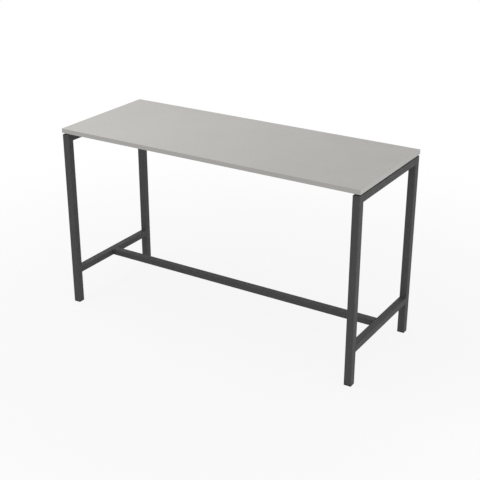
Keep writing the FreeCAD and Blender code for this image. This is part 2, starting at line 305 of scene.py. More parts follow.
def noise_of_size(group, vector, size, detail):
    scale = over(group, 1.0, size)
    return add_node(group, "ShaderNodeTexNoise", {"Vector": vector, "Scale": scale,
                                                  "Detail": detail,
                                                  "Roughness": noise_roughness}).outputs[0]


def tone_variation_group():
    """A colour with a fine grain and slow clouds in it."""
    group, given, result = start_group("Tone Variation", {
        "Vector": "Vector", "Colour": "Color", "Grain Size": "Float", "Grain Amount": "Float",
        "Cloud Size": "Float", "Cloud Amount": "Float"}, Colour="Color")
    grain = noise_of_size(group, given["Vector"], given["Grain Size"], detail=3.0)
    clouds = noise_of_size(group, given["Vector"], given["Cloud Size"], detail=2.0)
    level = times(group, swing(group, grain, given["Grain Amount"]),
                  swing(group, clouds, given["Cloud Amount"]))
    group.links.new(tinted(group, given["Colour"], level), result["Colour"])
    return group


def handled_sheen_group():
    """A roughness that cleaning and hands have made a little uneven."""
    group, given, result = start_group("Handled Sheen", {
        "Vector": "Vector", "Roughness": "Float", "Mark Size": "Float", "Mark Amount": "Float"},
        Roughness="Float")
    marks = noise_of_size(group, given["Vector"], given["Mark Size"], detail=5.0)
    level = swing(group, marks, given["Mark Amount"])
    group.links.new(times(group, given["Roughness"], level), result["Roughness"])
    return group


def pebbled_height_group():
    """The height of a closely pebbled skin: about 1 on its pebbles, and less in the pits."""
    group, given, result = start_group("Pebbled Height", {
        "Vector": "Vector", "Pebble Size": "Float", "Waviness": "Float"}, Height="Float")
    scale = over(group, 1.0, given["Pebble Size"])
    from_middle = add_node(group, "ShaderNodeTexVoronoi",
                           {"Vector": given["Vector"], "Scale": scale}).outputs["Distance"]
    dome = minus(group, 1.0, times(group, from_middle, from_middle))
    wave_size = times(group, given["Pebble Size"], pebbles_per_wave)
    waves = noise_of_size(group, given["Vector"], wave_size, detail=2.0)
    swell = times(group, minus(group, waves, 0.5), given["Waviness"])
    group.links.new(plus(group, dome, swell), result["Height"])
    return group


def painted_pit_shade_group():
    """Painted shade and highlight: a colour that is a little deeper in the pits of a pebbled skin,
    as painted shade, and paler on its pebbles, as a painted highlight.
    """
    group, given, result = start_group("Pit Shade", {
        "Colour": "Color", "Height": "Float", "Amount": "Float"}, Colour="Color")
    # Below the mean height the colour is painted darker as shade, and above it paler as a
    # highlight.
    above = minus(group, given["Height"], mean_pebble_height)
    level = plus(group, times(group, above, given["Amount"]), 1.0)
    group.links.new(tinted(group, given["Colour"], level), result["Colour"])
    return group


def thinned_edges_group():
    """A mask that is high on rounded edges, where a coat is thinner, broken up in patches."""
    group, given, result = start_group("Thinned Edges", {
        "Vector": "Vector", "Edge Strip": "Float", "Patch Size": "Float"}, Mask="Float")
    patches = noise_of_size(group, given["Vector"], given["Patch Size"], detail=4.0)
    worn = add_node(group, "ShaderNodeMapRange", {"Value": patches, "From Min": patch_starts,
                                                  "From Max": patch_is_full}).outputs[0]
    group.links.new(times(group, given["Edge Strip"], worn), result["Mask"])
    return group


def drawn_streaks_group():
    """Fine streaks along one axis, as rolling, drawing or turning leaves on metal."""
    group, given, result = start_group("Drawn Streaks", {
        "Vector": "Vector", "Streak Scale": "Vector", "Amount": "Float"}, Level="Float")
    stretched = add_node(group, "ShaderNodeVectorMath", {
        0: given["Vector"], 1: given["Streak Scale"]}, operation="MULTIPLY").outputs["Vector"]
    streaks = add_node(group, "ShaderNodeTexNoise", {"Vector": stretched, "Scale": 1.0,
                                                     "Detail": 4.0}).outputs[0]
    group.links.new(swing(group, streaks, given["Amount"]), result["Level"])
    return group


group_makers = {
    "Tone Variation": tone_variation_group, "Handled Sheen": handled_sheen_group,
    "Pebbled Height": pebbled_height_group, "Pit Shade": painted_pit_shade_group,
    "Thinned Edges": thinned_edges_group, "Drawn Streaks": drawn_streaks_group,
}


def use_group(tree, name, inputs):
    """Place a shared group in a material with its own values."""
    group = bpy.data.node_groups.get(name) or group_makers[name]()
    return add_node(tree, "ShaderNodeGroup", inputs, node_tree=group).outputs


# Finishes --------------------------------------------------------------------------

edge_strip_name = "edge_strip"
thin_coat_patch = 12 * millimetre
thin_coat_share = 0.40
thin_coat_tint = 1.7
chips_per_metre = (260.0, 330.0, 900.0)
pale_chip = 1.45
dark_chip = 0.45


def start_finish(name):
    """An empty material; returns it with its tree and the object coordinates."""
    material = bpy.data.materials.new(name)
    material.use_nodes = True
    tree = material.node_tree
    tree.nodes.clear()
    return material, tree, add_node(tree, "ShaderNodeTexCoord").outputs["Object"]


def finish_surface(tree, colour, roughness, height, depth, bump=1.0, metallic=0.0, specular=0.5):
    """The surface itself, in relief: a height of 1 stands that depth above a height of 0."""
    normal = add_node(tree, "ShaderNodeBump", {"Height": height, "Distance": depth,
                                               "Strength": bump}).outputs["Normal"]
    surface = add_node(tree, "ShaderNodeBsdfPrincipled", {
        "Base Color": colour, "Roughness": roughness, "Metallic": metallic,
        "Specular IOR Level": specular, "Normal": normal})
    add_node(tree, "ShaderNodeOutputMaterial", {"Surface": surface.outputs["BSDF"]})


def varied_tone(tree, where, colour, grain_size, grain_amount, cloud_size, cloud_amount):
    return use_group(tree, "Tone Variation", {
        "Vector": where, "Colour": colour, "Grain Size": grain_size, "Grain Amount": grain_amount,
        "Cloud Size": cloud_size, "Cloud Amount": cloud_amount})["Colour"]


def varied_sheen(tree, where, roughness, mark_size, mark_amount):
    return use_group(tree, "Handled Sheen", {
        "Vector": where, "Roughness": roughness, "Mark Size": mark_size,
        "Mark Amount": mark_amount})["Roughness"]


def paler_on_edges(tree, where, colour):
    """A coat's colour, with paler patches on the rounded edges, where it runs thin."""
    strip = add_node(tree, "ShaderNodeAttribute", attribute_name=edge_strip_name).outputs["Fac"]
    mask = use_group(tree, "Thinned Edges", {"Vector": where, "Edge Strip": strip,
                                             "Patch Size": thin_coat_patch})["Mask"]
    share = times(tree, mask, thin_coat_share)
    return mixed_colour(tree, share, colour, tinted(tree, colour, thin_coat_tint))


def pebbled_skin(name, colour, grain_size, grain_amount, cloud_size, cloud_amount, roughness,
                 mark_size, mark_amount, pebble_size, waviness, pebble_depth, painted_pit_shade,
                 specular=0.5, thins_on_edges=False):
    """A matt skin: grain and clouds in its colour, marks in its sheen, pebbles in its relief,
    painted shade in its pits and a painted highlight on its pebbles.
    """
    material, tree, where = start_finish(name)
    height = use_group(tree, "Pebbled Height", {"Vector": where, "Pebble Size": pebble_size,
                                                "Waviness": waviness})["Height"]
    tone = varied_tone(tree, where, opaque(colour), grain_size, grain_amount, cloud_size,
                       cloud_amount)
    # Painted shade in the pits and a painted highlight on the pebbles, taken from the relief's
    # height
    shaded = use_group(tree, "Pit Shade", {"Colour": tone, "Height": height,
                                           "Amount": painted_pit_shade})["Colour"]
    if thins_on_edges:
        shaded = paler_on_edges(tree, where, shaded)
    sheen = varied_sheen(tree, where, roughness, mark_size, mark_amount)
    finish_surface(tree, shaded, sheen, height, pebble_depth, specular=specular)
    return material


def laminate_finish():
    return pebbled_skin(
        "matt_laminate", settings_of("board").laminate_colour,
        grain_size=1.6 * millimetre, grain_amount=0.10, cloud_size=0.30, cloud_amount=0.05,
        roughness=0.44, mark_size=0.14, mark_amount=0.45,
        pebble_size=0.9 * millimetre, waviness=0.8, pebble_depth=0.03 * millimetre, painted_pit_shade=0.10)


def edging_finish():
    return pebbled_skin(
        "plastic_edging", settings_of("board").edging_colour,
        grain_size=1.2 * millimetre, grain_amount=0.06, cloud_size=0.22, cloud_amount=0.04,
        roughness=0.38, mark_size=0.08, mark_amount=0.40,
        pebble_size=0.7 * millimetre, waviness=1.2, pebble_depth=0.025 * millimetre, painted_pit_shade=0.08)


def backing_finish():
    return pebbled_skin(
        "backing_laminate", settings_of("board").backing_colour,
        grain_size=3.0 * millimetre, grain_amount=0.22, cloud_size=0.15, cloud_amount=0.14,
        roughness=0.60, mark_size=0.10, mark_amount=0.30,
        pebble_size=1.4 * millimetre, waviness=1.0, pebble_depth=0.06 * millimetre, painted_pit_shade=0.16)


def moulded_finish():
    return pebbled_skin(
        "black_moulded_plastic", settings_of("foot").plastic_colour,
        grain_size=0.9 * millimetre, grain_amount=0.50, cloud_size=0.03, cloud_amount=0.30,
        roughness=0.46, mark_size=0.012, mark_amount=0.50,
        pebble_size=0.6 * millimetre, waviness=0.6, pebble_depth=0.05 * millimetre, painted_pit_shade=0.50,
        specular=0.22)


def powder_coat_finish():
    return pebbled_skin(
        "anthracite_powder_coat", settings_of("steelwork").paint_colour,
        grain_size=1.1 * millimetre, grain_amount=0.35, cloud_size=0.11, cloud_amount=0.16,
        roughness=0.64, mark_size=0.045, mark_amount=0.45,
        pebble_size=0.9 * millimetre, waviness=1.1, pebble_depth=0.08 * millimetre, painted_pit_shade=0.55,
        specular=0.22, thins_on_edges=True)


def chipboard_finish():
    """Raw chipboard: flat chips of several tones, with dark glue between them."""
    material, tree, where = start_finish("raw_chipboard")
    stretched = add_node(tree, "ShaderNodeMapping", {
        "Vector": where, "Scale": chips_per_metre}).outputs["Vector"]
    chips = add_node(tree, "ShaderNodeTexVoronoi", {"Vector": stretched, "Scale": 1.0})
    from_gap = add_node(tree, "ShaderNodeTexVoronoi", {"Vector": stretched, "Scale": 1.0},
                        feature="DISTANCE_TO_EDGE").outputs["Distance"]
    chip_tone = add_node(tree, "ShaderNodeSeparateColor", {
        "Color": chips.outputs["Color"]}).outputs[0]
    mean = settings_of("board").chip_colour
    pale = opaque([min(1.0, pale_chip * channel) for channel in mean])
    dark = opaque([dark_chip * channel for channel in mean])
    wood = varied_tone(tree, where, mixed_colour(tree, chip_tone, dark, pale),
                       grain_size=0.6 * millimetre, grain_amount=0.5, cloud_size=0.02,
                       cloud_amount=0.2)
    finish_surface(tree, wood, roughness=0.85, height=from_gap, depth=0.4 * millimetre, bump=0.6,
                   specular=0.2)
    return material


def metal_finish(name, colour, streak_scale, streak_amount, roughness):
    """Plated or bare steel with fine streaks in its tone and sheen."""
    material, tree, where = start_finish(name)
    level = use_group(tree, "Drawn Streaks", {"Vector": where, "Streak Scale": streak_scale,
                                              "Amount": streak_amount})["Level"]
    tone = varied_tone(tree, where, opaque(colour), grain_size=0.4 * millimetre, grain_amount=0.10,
                       cloud_size=9 * millimetre, cloud_amount=0.25)
    sheen = varied_sheen(tree, where, roughness, mark_size=6 * millimetre, mark_amount=0.35)
    finish_surface(tree, tinted(tree, tone, level), sheen, height=level, depth=0.01 * millimetre,
                   bump=0.4, metallic=1.0)
    return material


def zinc_finish():
    return metal_finish("zinc_plating", settings_of("fastener").zinc_colour,
                        streak_scale=(900.0, 900.0, 5200.0), streak_amount=0.12, roughness=0.34)


def bare_steel_finish():
    return metal_finish("mill_finish_steel", settings_of("steelwork").bare_colour,
                        streak_scale=(120.0, 3800.0, 3800.0), streak_amount=0.30, roughness=0.48)


finish_makers = {
    "board_laminate": laminate_finish, "edging": edging_finish,
    "backing_laminate": backing_finish, "board_core": chipboard_finish,
    "frame_paint": powder_coat_finish, "bare_steel": bare_steel_finish,
    "zinc_steel": zinc_finish, "black_plastic": moulded_finish,
}
made_finishes = {}


def finish_for(slot):
    """The material for one of the record's slots, made the first time it is asked for."""
    if slot not in made_finishes:
        made_finishes[slot] = finish_makers[slot]()
    return made_finishes[slot]


# Pieces ----------------------------------------------------------------------------

weld_distance = 0.001 * millimetre
widest_edge_strip = 1.2 * millimetre
flat_angle = math.radians(0.5)
arris_angle = math.radians(40)
arris_segments = 2
sorting_digits = 4


def linked_object(name, content):
    made = bpy.data.objects.new(name, content)
    bpy.context.scene.collection.objects.link(made)
    return made


def give_finish(part, slot):
    """Give an object the finish of one of the record's slots."""
    part.data.materials.clear()
    part.data.materials.append(finish_for(slot))


def add_piece(name, mesh, slot, body, *nodes):
    """Put a finished mesh in the scene, on the body that carries it, in place of CAD nodes."""
    if not mesh.polygons:
        raise RuntimeError(f"{name} came out empty")
    mesh.polygons.foreach_set("material_index", [0] * len(mesh.polygons))
    piece = linked_object(name, mesh)
    give_finish(piece, slot)
    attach(piece, body)
    if nodes:
        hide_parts(*nodes)


def evaluated_mesh(source):
    """The mesh that an object's modifiers make; the object itself is then removed."""
    depsgraph = bpy.context.evaluated_depsgraph_get()
    mesh = bpy.data.meshes.new_from_object(source.evaluated_get(depsgraph),
                                           preserve_all_data_layers=True, depsgraph=depsgraph)
    bpy.data.objects.remove(source)
    return mesh


def merged_copy(mesh):
    """A copy of a mesh for editing, joined up, as a CAD node's mesh is loose triangles."""
    edit = bmesh.new()
    edit.from_mesh(mesh)
    bmesh.ops.remove_doubles(edit, verts=edit.verts, dist=weld_distance)
    return edit


def mark_edge_strips(mesh):
    """Give each face 1 where it is one of the narrow strips of a rounded edge, and 0 elsewhere."""
    strips = mesh.attributes.new(edge_strip_name, "FLOAT", "FACE")
    for polygon in mesh.polygons:
        corners = [mesh.vertices[index].co for index in polygon.vertices]
        longest = max((corners[index] - corners[index - 1]).length for index in range(len(corners)))
        is_strip = polygon.area < widest_edge_strip * longest
        strips.data[polygon.index].value = 1.0 if is_strip else 0.0


def arrised_mesh(mesh, arris):
    """A shape with its flat faces whole again and its sharp edges rounded."""
    edit = merged_copy(mesh)
    bmesh.ops.dissolve_limit(edit, angle_limit=flat_angle, verts=edit.verts, edges=edit.edges)
    whole = bpy.data.meshes.new(mesh.name + "_arrised")
    edit.to_mesh(whole)
    edit.free()
    whole.polygons.foreach_set("use_smooth", [True] * len(whole.polygons))
    source = linked_object(whole.name, whole)
    rounding = source.modifiers.new("Arris", "BEVEL")
    rounding.width = arris
    rounding.segments = arris_segments
    # Sliding along edges would fold the face of a narrow ring over its own opening.
    rounding.loop_slide = False
    rounding.limit_method = "ANGLE"
    rounding.angle_limit = arris_angle
    source.modifiers.new("Flat Faces", "WEIGHTED_NORMAL")
    rounded = evaluated_mesh(source)
    mark_edge_strips(rounded)
    return rounded


def add_arrised(node, slot, arris, body=table_body):
    """The shape of a CAD node with its edges dressed."""
    shape = arrised_mesh(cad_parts[node].data, arris)
    add_piece(node + "_finished", shape, slot, body, node)


def separate_boxes(node):
    """The lowest and highest corners of each loose solid in a CAD node, sorted by the lowest."""
    edit = merged_copy(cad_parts[node].data)
    waiting = set(edit.verts)
    boxes = []
    while waiting:
        reached = [waiting.pop()]
        corners = []
        while reached:
            vertex = reached.pop()
            corners.append(vertex.co.copy())
            joined = {edge.other_vert(vertex) for edge in vertex.link_edges} & waiting
            waiting -= joined
            reached.extend(joined)
        boxes.append([Vector([limit(corner[axis] for corner in corners) for axis in range(3)])
                      for limit in (min, max)])
    edit.free()
    return sorted(boxes, key=lambda box: tuple(round(value, sorting_digits) for value in box[0]))


def upright_points(boxes, rise=0.0):
    """A point over the foot of each box, at that rise, aimed up."""
    return [(((low.x + high.x) / 2, (low.y + high.y) / 2, low.z + rise), up) for low, high in boxes]


# Turned shapes: rings round the Z axis ---------------------------------------------

ring_steps = 36
rows_per_turn = 6
chamfer_steps = 4
dome_steps = 7
sharp_angle = math.radians(32)
chamfer_slope = math.tan(math.radians(30))

# A thread rises from its root, at 0, to its crest, at 1, within half a pitch. Its flanks would
# run past both by the overrun, and are cut off flat there.
flank_overrun = 0.1
flank_slope = 2.4

# Shares of the shank's radius, the thread's depth, the head's height, a hexagon's height and
# half its width
neck_share = 0.1
tip_chamfer_share = 1.2
seat_share = 0.03
hexagon_chamfer_share = 0.12
chamfered_end_share = 0.96


def hexagon_radius(across_flats, angle):
    """How far a hexagon reaches at an angle, with corners on the X axis."""
    corner_step = math.pi / 3
    return across_flats / 2 / math.cos(angle % corner_step - corner_step / 2)


def turned_mesh(name, rings, is_pierced=False):
    """A solid from rings; each is a height and a radius, which may be a function of the angle.

    The first and last rings are capped, or joined to each other where the solid is pierced.
    """
    edit = bmesh.new()
    rows = []
    for height, radius in rings:
        row = []
        for step in range(ring_steps):
            angle = 2 * math.pi * step / ring_steps
            reach = radius(angle) if callable(radius) else radius
            row.append(edit.verts.new((reach * math.cos(angle), reach * math.sin(angle), height)))
        rows.append(row)
    pairs = list(zip(rows, rows[1:]))
    if is_pierced:
        pairs.append((rows[-1], rows[0]))
    else:
        edit.faces.new(rows[0])
        edit.faces.new(rows[-1])
    for lower, upper in pairs:
        for step in range(ring_steps):
            following = (step + 1) % ring_steps
            edit.faces.new((lower[step], lower[following], upper[following], upper[step]))
    bmesh.ops.recalc_face_normals(edit, faces=edit.faces)
    mesh = bpy.data.meshes.new(name)
    edit.to_mesh(mesh)
    edit.free()
    mesh.polygons.foreach_set("use_smooth", [True] * len(mesh.polygons))
    mesh.set_sharp_from_angle(angle=sharp_angle)
    return mesh


def threaded_rings(crest, depth, pitch, start, stop, tip_chamfer):
    """Rings of a right-hand thread from start up to stop, with a chamfered tip."""
    row_count = max(2, round((stop - start) / pitch * rows_per_turn))

    def radius_at(height):
        def radius(angle):
            phase = (height / pitch - angle / (2 * math.pi)) % 1.0
            flank = min(1.0, max(0.0, flank_slope * abs(phase - 0.5) - flank_overrun))
            from_start = min(1.0, (height - start) / pitch)
            tip_limit = crest - tip_chamfer + (stop - height)
            return min(crest - depth * (1 - flank * from_start), tip_limit)
        return radius

    heights = [start + (stop - start) * row / row_count for row in range(row_count + 1)]
    return [(height, radius_at(height)) for height in heights]


def shank_rings(radius, depth, pitch, length):
    """Rings of a shank above its neck, which narrows to the thread's root, up to the tip."""
    return threaded_rings(radius, depth, pitch, neck_share * radius, length,
                          tip_chamfer_share * depth)


def chamfered_hexagon_rings(across_flats, plain_height, chamfer_height, outwards):
    """Rings from a hexagon's plain end out to its chamfered end."""
    end_radius = across_flats / 2 * chamfered_end_share

    def radius_at(rise):
        def radius(angle):
            cone = end_radius + chamfer_height / chamfer_slope * (1 - rise)
            return min(hexagon_radius(across_flats, angle), cone)
        return radius

    return [(plain_height + outwards * chamfer_height * step / chamfer_steps,
             radius_at(step / chamfer_steps)) for step in range(chamfer_steps + 1)]


def hexagon_rings(across_flats, low, high, chamfer):
    """Rings of a hexagon that is chamfered at both ends."""
    lower = chamfered_hexagon_rings(across_flats, low + chamfer, chamfer, -1)[::-1]
    return lower + chamfered_hexagon_rings(across_flats, high - chamfer, chamfer, 1)


def hexagon_bolt_mesh(length):
    """A hexagon-head bolt: the head's seat is on Z = 0 and the thread runs up."""
    size = settings_of("fastener")
    width, height, radius = size.bolt_head_width, size.bolt_head_height, size.bolt_radius
    chamfer = 0.15 * height
    seat_radius = 0.47 * width
    seat_height = seat_share * height
    head = chamfered_hexagon_rings(width, chamfer - height, chamfer, -1)[::-1]
    seat = [(-seat_height, lambda angle: hexagon_radius(width, angle)),
            (-seat_height, seat_radius), (0.0, seat_radius), (0.0, radius)]
    shank = shank_rings(radius, size.bolt_thread_depth, size.bolt_pitch, length)
    return turned_mesh("hexagon_bolt", head + seat + shank)


def dome_screw_mesh(head_radius, length):
    """A domed screw with a hexagon socket: the head's seat is on Z = 0 and the thread runs up."""
    size = settings_of("fastener")
    height, radius = size.screw_head_height, size.screw_radius
    flat_radius = 0.46 * head_radius
    dome_height = 0.86 * height
    seat_radius = 0.985 * head_radius

    def socket_wall(angle):
        return hexagon_radius(size.socket_width, angle)

    rings = [(size.socket_depth - height, socket_wall), (-height, socket_wall)]
    for step in range(dome_steps + 1):
        turn = math.pi / 2 * step / dome_steps
        rings.append((-height + dome_height * (1 - math.cos(turn)),
                      flat_radius + (head_radius - flat_radius) * math.sin(turn)))
    rings += [(-seat_share * height, head_radius), (0.0, seat_radius), (0.0, radius)]
    rings += shank_rings(radius, size.screw_thread_depth, size.screw_pitch, length)
    return turned_mesh("dome_screw", rings)


def hexagon_nut_mesh(width, height):
    """A nut that stands on Z = 0, chamfered above and below and countersunk at its thread."""
    bore = settings_of("fastener").nut_bore
    sink = 0.08 * height
    inner = [(height, bore + sink), (height - sink, bore), (sink, bore), (0.0, bore + sink)]
    outer = hexagon_rings(width, 0.0, height, hexagon_chamfer_share * height)
    return turned_mesh("hexagon_nut", outer + inner, is_pierced=True)


def insert_mesh(radius, length):
    """A threaded bush: a coarse thread outside that bites the board, a plain bore inside."""
    size = settings_of("fastener")
    outside = threaded_rings(radius, size.insert_thread_depth, size.insert_pitch, 0.0, length,
                             size.insert_thread_depth)
    inside = [(length, size.insert_bore), (0.0, size.insert_bore)]
    return turned_mesh("threaded_insert", outside + inside, is_pierced=True)


def foot_stem_mesh(length, collar_low):
    """A levelling stem: riveted head below, hexagon collar above the pad, thread to the top."""
    thread = settings_of("fastener")
    foot = settings_of("foot")
    neck = thread.bolt_radius - 0.1 * millimetre
    run_out = 0.2 * millimetre
    collar_high = collar_low + foot.collar_height
    rivet_face = 0.80 * foot.rivet_radius
    rivet_slope = 0.35 * foot.rivet_height
    head = [(0.0, rivet_face), (rivet_slope, foot.rivet_radius),
            (foot.rivet_height, foot.rivet_radius), (foot.rivet_height, neck)]
    collar = hexagon_rings(foot.collar_width, collar_low, collar_high,
                           hexagon_chamfer_share * foot.collar_height)
    shank = threaded_rings(thread.bolt_radius, thread.bolt_thread_depth, thread.bolt_pitch,
                           collar_high + run_out, length, thread.bolt_thread_depth)
    return turned_mesh("foot_stem",
                       [*head, (collar_low, neck), *collar, (collar_high, neck), *shank])


# Geometry node trees for what repeats or follows a rule ------------------------------

tube_round_steps = 8
drill_sides = 32
bead_sides = 14
points_per_ripple = 5.0
unevenness_scale = 150.0

# How far along a bead its ends reach, and how thick they start, as shares of the whole
bead_end_reach = 0.08
bead_end_share = 0.25


def start_geometry_tree(name, inputs):
    return start_tree(name, "GeometryNodeTree", inputs, {"Result": "Geometry"})


def finish_tree(tree, geometry, finish, result):
    """Every tree ends by making its instances real and setting their material."""
    real = add_node(tree, "GeometryNodeRealizeInstances", {"Geometry": geometry})
    painted = add_node(tree, "GeometryNodeSetMaterial", {
        "Geometry": real.outputs["Geometry"], "Material": finish})
    tree.links.new(painted.outputs["Geometry"], result["Result"])
    return tree


def aimed_rotation(tree):
    """The rotation that turns Z to each point's own aim."""
    aim = add_node(tree, "GeometryNodeInputNamedAttribute", {"Name": "aim"},
                   data_type="FLOAT_VECTOR").outputs["Attribute"]
    return add_node(tree, "FunctionNodeAlignRotationToVector", {"Vector": aim},
                    axis="Z").outputs["Rotation"]


def instances_on(tree, points, shape, rotation):
    return add_node(tree, "GeometryNodeInstanceOnPoints", {
        "Points": points, "Instance": shape, "Rotation": rotation}).outputs["Instances"]


def fasteners_tree():
    """One fastener on each point, along the point's aim, rolled by chance about its own axis."""
    tree, given, result = start_geometry_tree("Fasteners At Points", {
        "Places": "Geometry", "Fastener": "Object", "Largest Roll": "Float", "Roll Seed": "Int",
        "Finish": "Material"})
    shape = add_node(tree, "GeometryNodeObjectInfo", {"Object": given["Fastener"]})
    chance = add_node(tree, "FunctionNodeRandomValue", {"Seed": given["Roll Seed"]},
                      data_type="FLOAT")
    # The Random Value node's single number is its output 1.
    roll = times(tree, chance.outputs[1], given["Largest Roll"])
    turn = add_node(tree, "FunctionNodeAxisAngleToRotation", {"Axis": up, "Angle": roll})
    rotation = add_node(tree, "FunctionNodeRotateRotation", {
        "Rotation": aimed_rotation(tree), "Rotate By": turn.outputs["Rotation"]},
        rotation_space="LOCAL").outputs["Rotation"]
    placed = instances_on(tree, given["Places"], shape.outputs["Geometry"], rotation)
    return finish_tree(tree, placed, given["Finish"], result)


def weld_tree():
    """A rippled bead along each line, which gets thinner towards both ends."""
    tree, given, result = start_geometry_tree("Weld Beads", {
        "Lines": "Geometry", "Throat": "Float", "Ripple": "Float", "Ripple Height": "Float",
        "Unevenness": "Float", "Seed": "Float", "Finish": "Material"})
    line = add_node(tree, "GeometryNodeMeshToCurve", {"Mesh": given["Lines"]}).outputs["Curve"]
    step = over(tree, given["Ripple"], points_per_ripple)
    fine = add_node(tree, "GeometryNodeResampleCurve", {"Curve": line, "Length": step},
                    mode="LENGTH")
    along = add_node(tree, "GeometryNodeSplineParameter").outputs
    turns = over(tree, along["Length"], given["Ripple"])
    wave = calculate(tree, "SINE", times(tree, turns, 2 * math.pi))
    ripple = times(tree, wave, given["Ripple Height"])
    position = add_node(tree, "GeometryNodeInputPosition").outputs["Position"]
    noise = add_node(tree, "ShaderNodeTexNoise", {
        "Vector": position, "W": given["Seed"], "Scale": unevenness_scale},
        noise_dimensions="4D").outputs[0]
    uneven = swing(tree, noise, given["Unevenness"])
    from_end = calculate(tree, "MINIMUM", along["Factor"], minus(tree, 1.0, along["Factor"]))
    taper = eased_map(tree, from_end, **{"From Max": bead_end_reach, "To Min": bead_end_share})
    level = times(tree, plus(tree, ripple, uneven), taper)
    section = add_node(tree, "GeometryNodeCurvePrimitiveCircle", {
        "Resolution": bead_sides, "Radius": 1.0}, mode="RADIUS")
    bead = add_node(tree, "GeometryNodeCurveToMesh", {
        "Curve": fine.outputs["Curve"], "Profile Curve": section.outputs["Curve"],
        "Scale": times(tree, level, given["Throat"]), "Fill Caps": True})
    smooth = add_node(tree, "GeometryNodeSetShadeSmooth", {"Geometry": bead.outputs["Mesh"]})
    return finish_tree(tree, smooth.outputs["Geometry"], given["Finish"], result)


def rectangle(tree, width, height):
    return add_node(tree, "GeometryNodeCurvePrimitiveQuadrilateral",
                    {"Width": width, "Height": height}).outputs["Curve"]


def along_z(tree, distance):
    return add_node(tree, "ShaderNodeCombineXYZ", {"Z": distance}).outputs["Vector"]


def difference(tree, solid, cutter):
    return add_node(tree, "GeometryNodeMeshBoolean", {"Mesh 1": solid, "Mesh 2": cutter},
                    operation="DIFFERENCE", solver="EXACT").outputs["Mesh"]


def leaning_prism(tree, given, section, overrun):
    """A solid bar up Z from a closed section, whose ends lean across Y as the mitres say."""
    line = add_node(tree, "GeometryNodeCurvePrimitiveLine", {
        "Start": along_z(tree, times(tree, overrun, -1.0)),
        "End": along_z(tree, plus(tree, given["Length"], overrun))})
    bar = add_node(tree, "GeometryNodeCurveToMesh", {
        "Curve": line.outputs["Curve"], "Profile Curve": section, "Fill Caps": True})
    place = add_node(tree, "GeometryNodeInputPosition").outputs["Position"]
    across = add_node(tree, "ShaderNodeSeparateXYZ", {"Vector": place}).outputs
    half_length = times(tree, given["Length"], 0.5)
    is_upper = calculate(tree, "GREATER_THAN", across["Z"], half_length)
    slope = mixed_value(tree, is_upper, given["Lower Mitre"], given["Upper Mitre"])
    lean = along_z(tree, times(tree, slope, across["Y"]))
    return add_node(tree, "GeometryNodeSetPosition", {
        "Geometry": bar.outputs["Mesh"], "Offset": lean}).outputs["Geometry"]


def tube_tree():
    """A hollow square tube: a bar less its bore, placed, then drilled where its points say."""
    tree, given, result = start_geometry_tree("Square Tube", {
        "Drill Places": "Geometry", "Width": "Float", "Height": "Float", "Length": "Float",
        "Wall": "Float", "Corner Round": "Float", "Lower Mitre": "Float", "Upper Mitre": "Float",
        "Start": "Vector", "Turn": "Vector", "Drill Radius": "Float", "Finish": "Material"})
    walls = times(tree, given["Wall"], 2.0)
    outline = add_node(tree, "GeometryNodeFilletCurve", {
        "Curve": rectangle(tree, given["Width"], given["Height"]), "Count": tube_round_steps,
        "Radius": given["Corner Round"]}, mode="POLY").outputs["Curve"]
    hollow = rectangle(tree, minus(tree, given["Width"], walls),
                       minus(tree, given["Height"], walls))
    bar = leaning_prism(tree, given, outline, 0.0)
    bore = leaning_prism(tree, given, hollow, given["Wall"])
    turn = add_node(tree, "FunctionNodeEulerToRotation", {"Euler": given["Turn"]})
    placed = add_node(tree, "GeometryNodeTransform", {
        "Geometry": difference(tree, bar, bore), "Translation": given["Start"],
        "Rotation": turn.outputs["Rotation"]})
    drill = add_node(tree, "GeometryNodeMeshCylinder", {
        "Vertices": drill_sides, "Radius": given["Drill Radius"],
        "Depth": times(tree, walls, 2.0)})
    drills = instances_on(tree, given["Drill Places"], drill.outputs["Mesh"], aimed_rotation(tree))
    drilled = difference(tree, placed.outputs["Geometry"], drills)
    return finish_tree(tree, drilled, given["Finish"], result)


tree_makers = {"Fasteners At Points": fasteners_tree, "Weld Beads": weld_tree,
               "Square Tube": tube_tree}


def grown_mesh(tree_name, base, inputs):
    """What a node tree makes of a base mesh, as a plain mesh."""
    tree = bpy.data.node_groups.get(tree_name) or tree_makers[tree_name]()
    source = linked_object(base.name, base)
    modifier = source.modifiers.new(tree_name, "NODES")
    modifier.node_group = tree
    for socket in tree.interface.items_tree:
        if socket.in_out == "INPUT" and socket.name in inputs:
            modifier[socket.identifier] = inputs[socket.name]
    return evaluated_mesh(source)


def aimed_points(name, points):
    """A mesh of loose points, each with the direction in which its fastener or drill aims."""
    mesh = bpy.data.meshes.new(name)
    mesh.from_pydata([place for place, _ in points], [], [])
    aims = mesh.attributes.new("aim", "FLOAT_VECTOR", "POINT")
    for index, (_, aim) in enumerate(points):
        aims.data[index].vector = aim
    return mesh


def add_fasteners(name, shape, points, node, body=table_body, largest_roll=math.tau):
    """Copies of one turned shape, one at each point, as a single piece."""
    if not points:
        raise RuntimeError(f"{node} gives no places for {name}")
    pattern = linked_object(shape.name, shape)
    mesh = grown_mesh("Fasteners At Points", aimed_points(name + "_places", points), {
        "Fastener": pattern, "Largest Roll": largest_roll,
        "Roll Seed": settings_of("fastener").roll_seed, "Finish": finish_for("zinc_steel")})
    bpy.data.objects.remove(pattern)
    add_piece(name, mesh, "zinc_steel", body, node)


# How a tube that runs up Z is turned to run along each axis, and which axes its width and
# height then lie along.
tube_turns = {"x": ((0.0, math.pi / 2, 0.0), "z", "y"), "y": ((-math.pi / 2, 0.0, 0.0), "x", "z"),
              "z": ((0.0, 0.0, 0.0), "x", "y")}


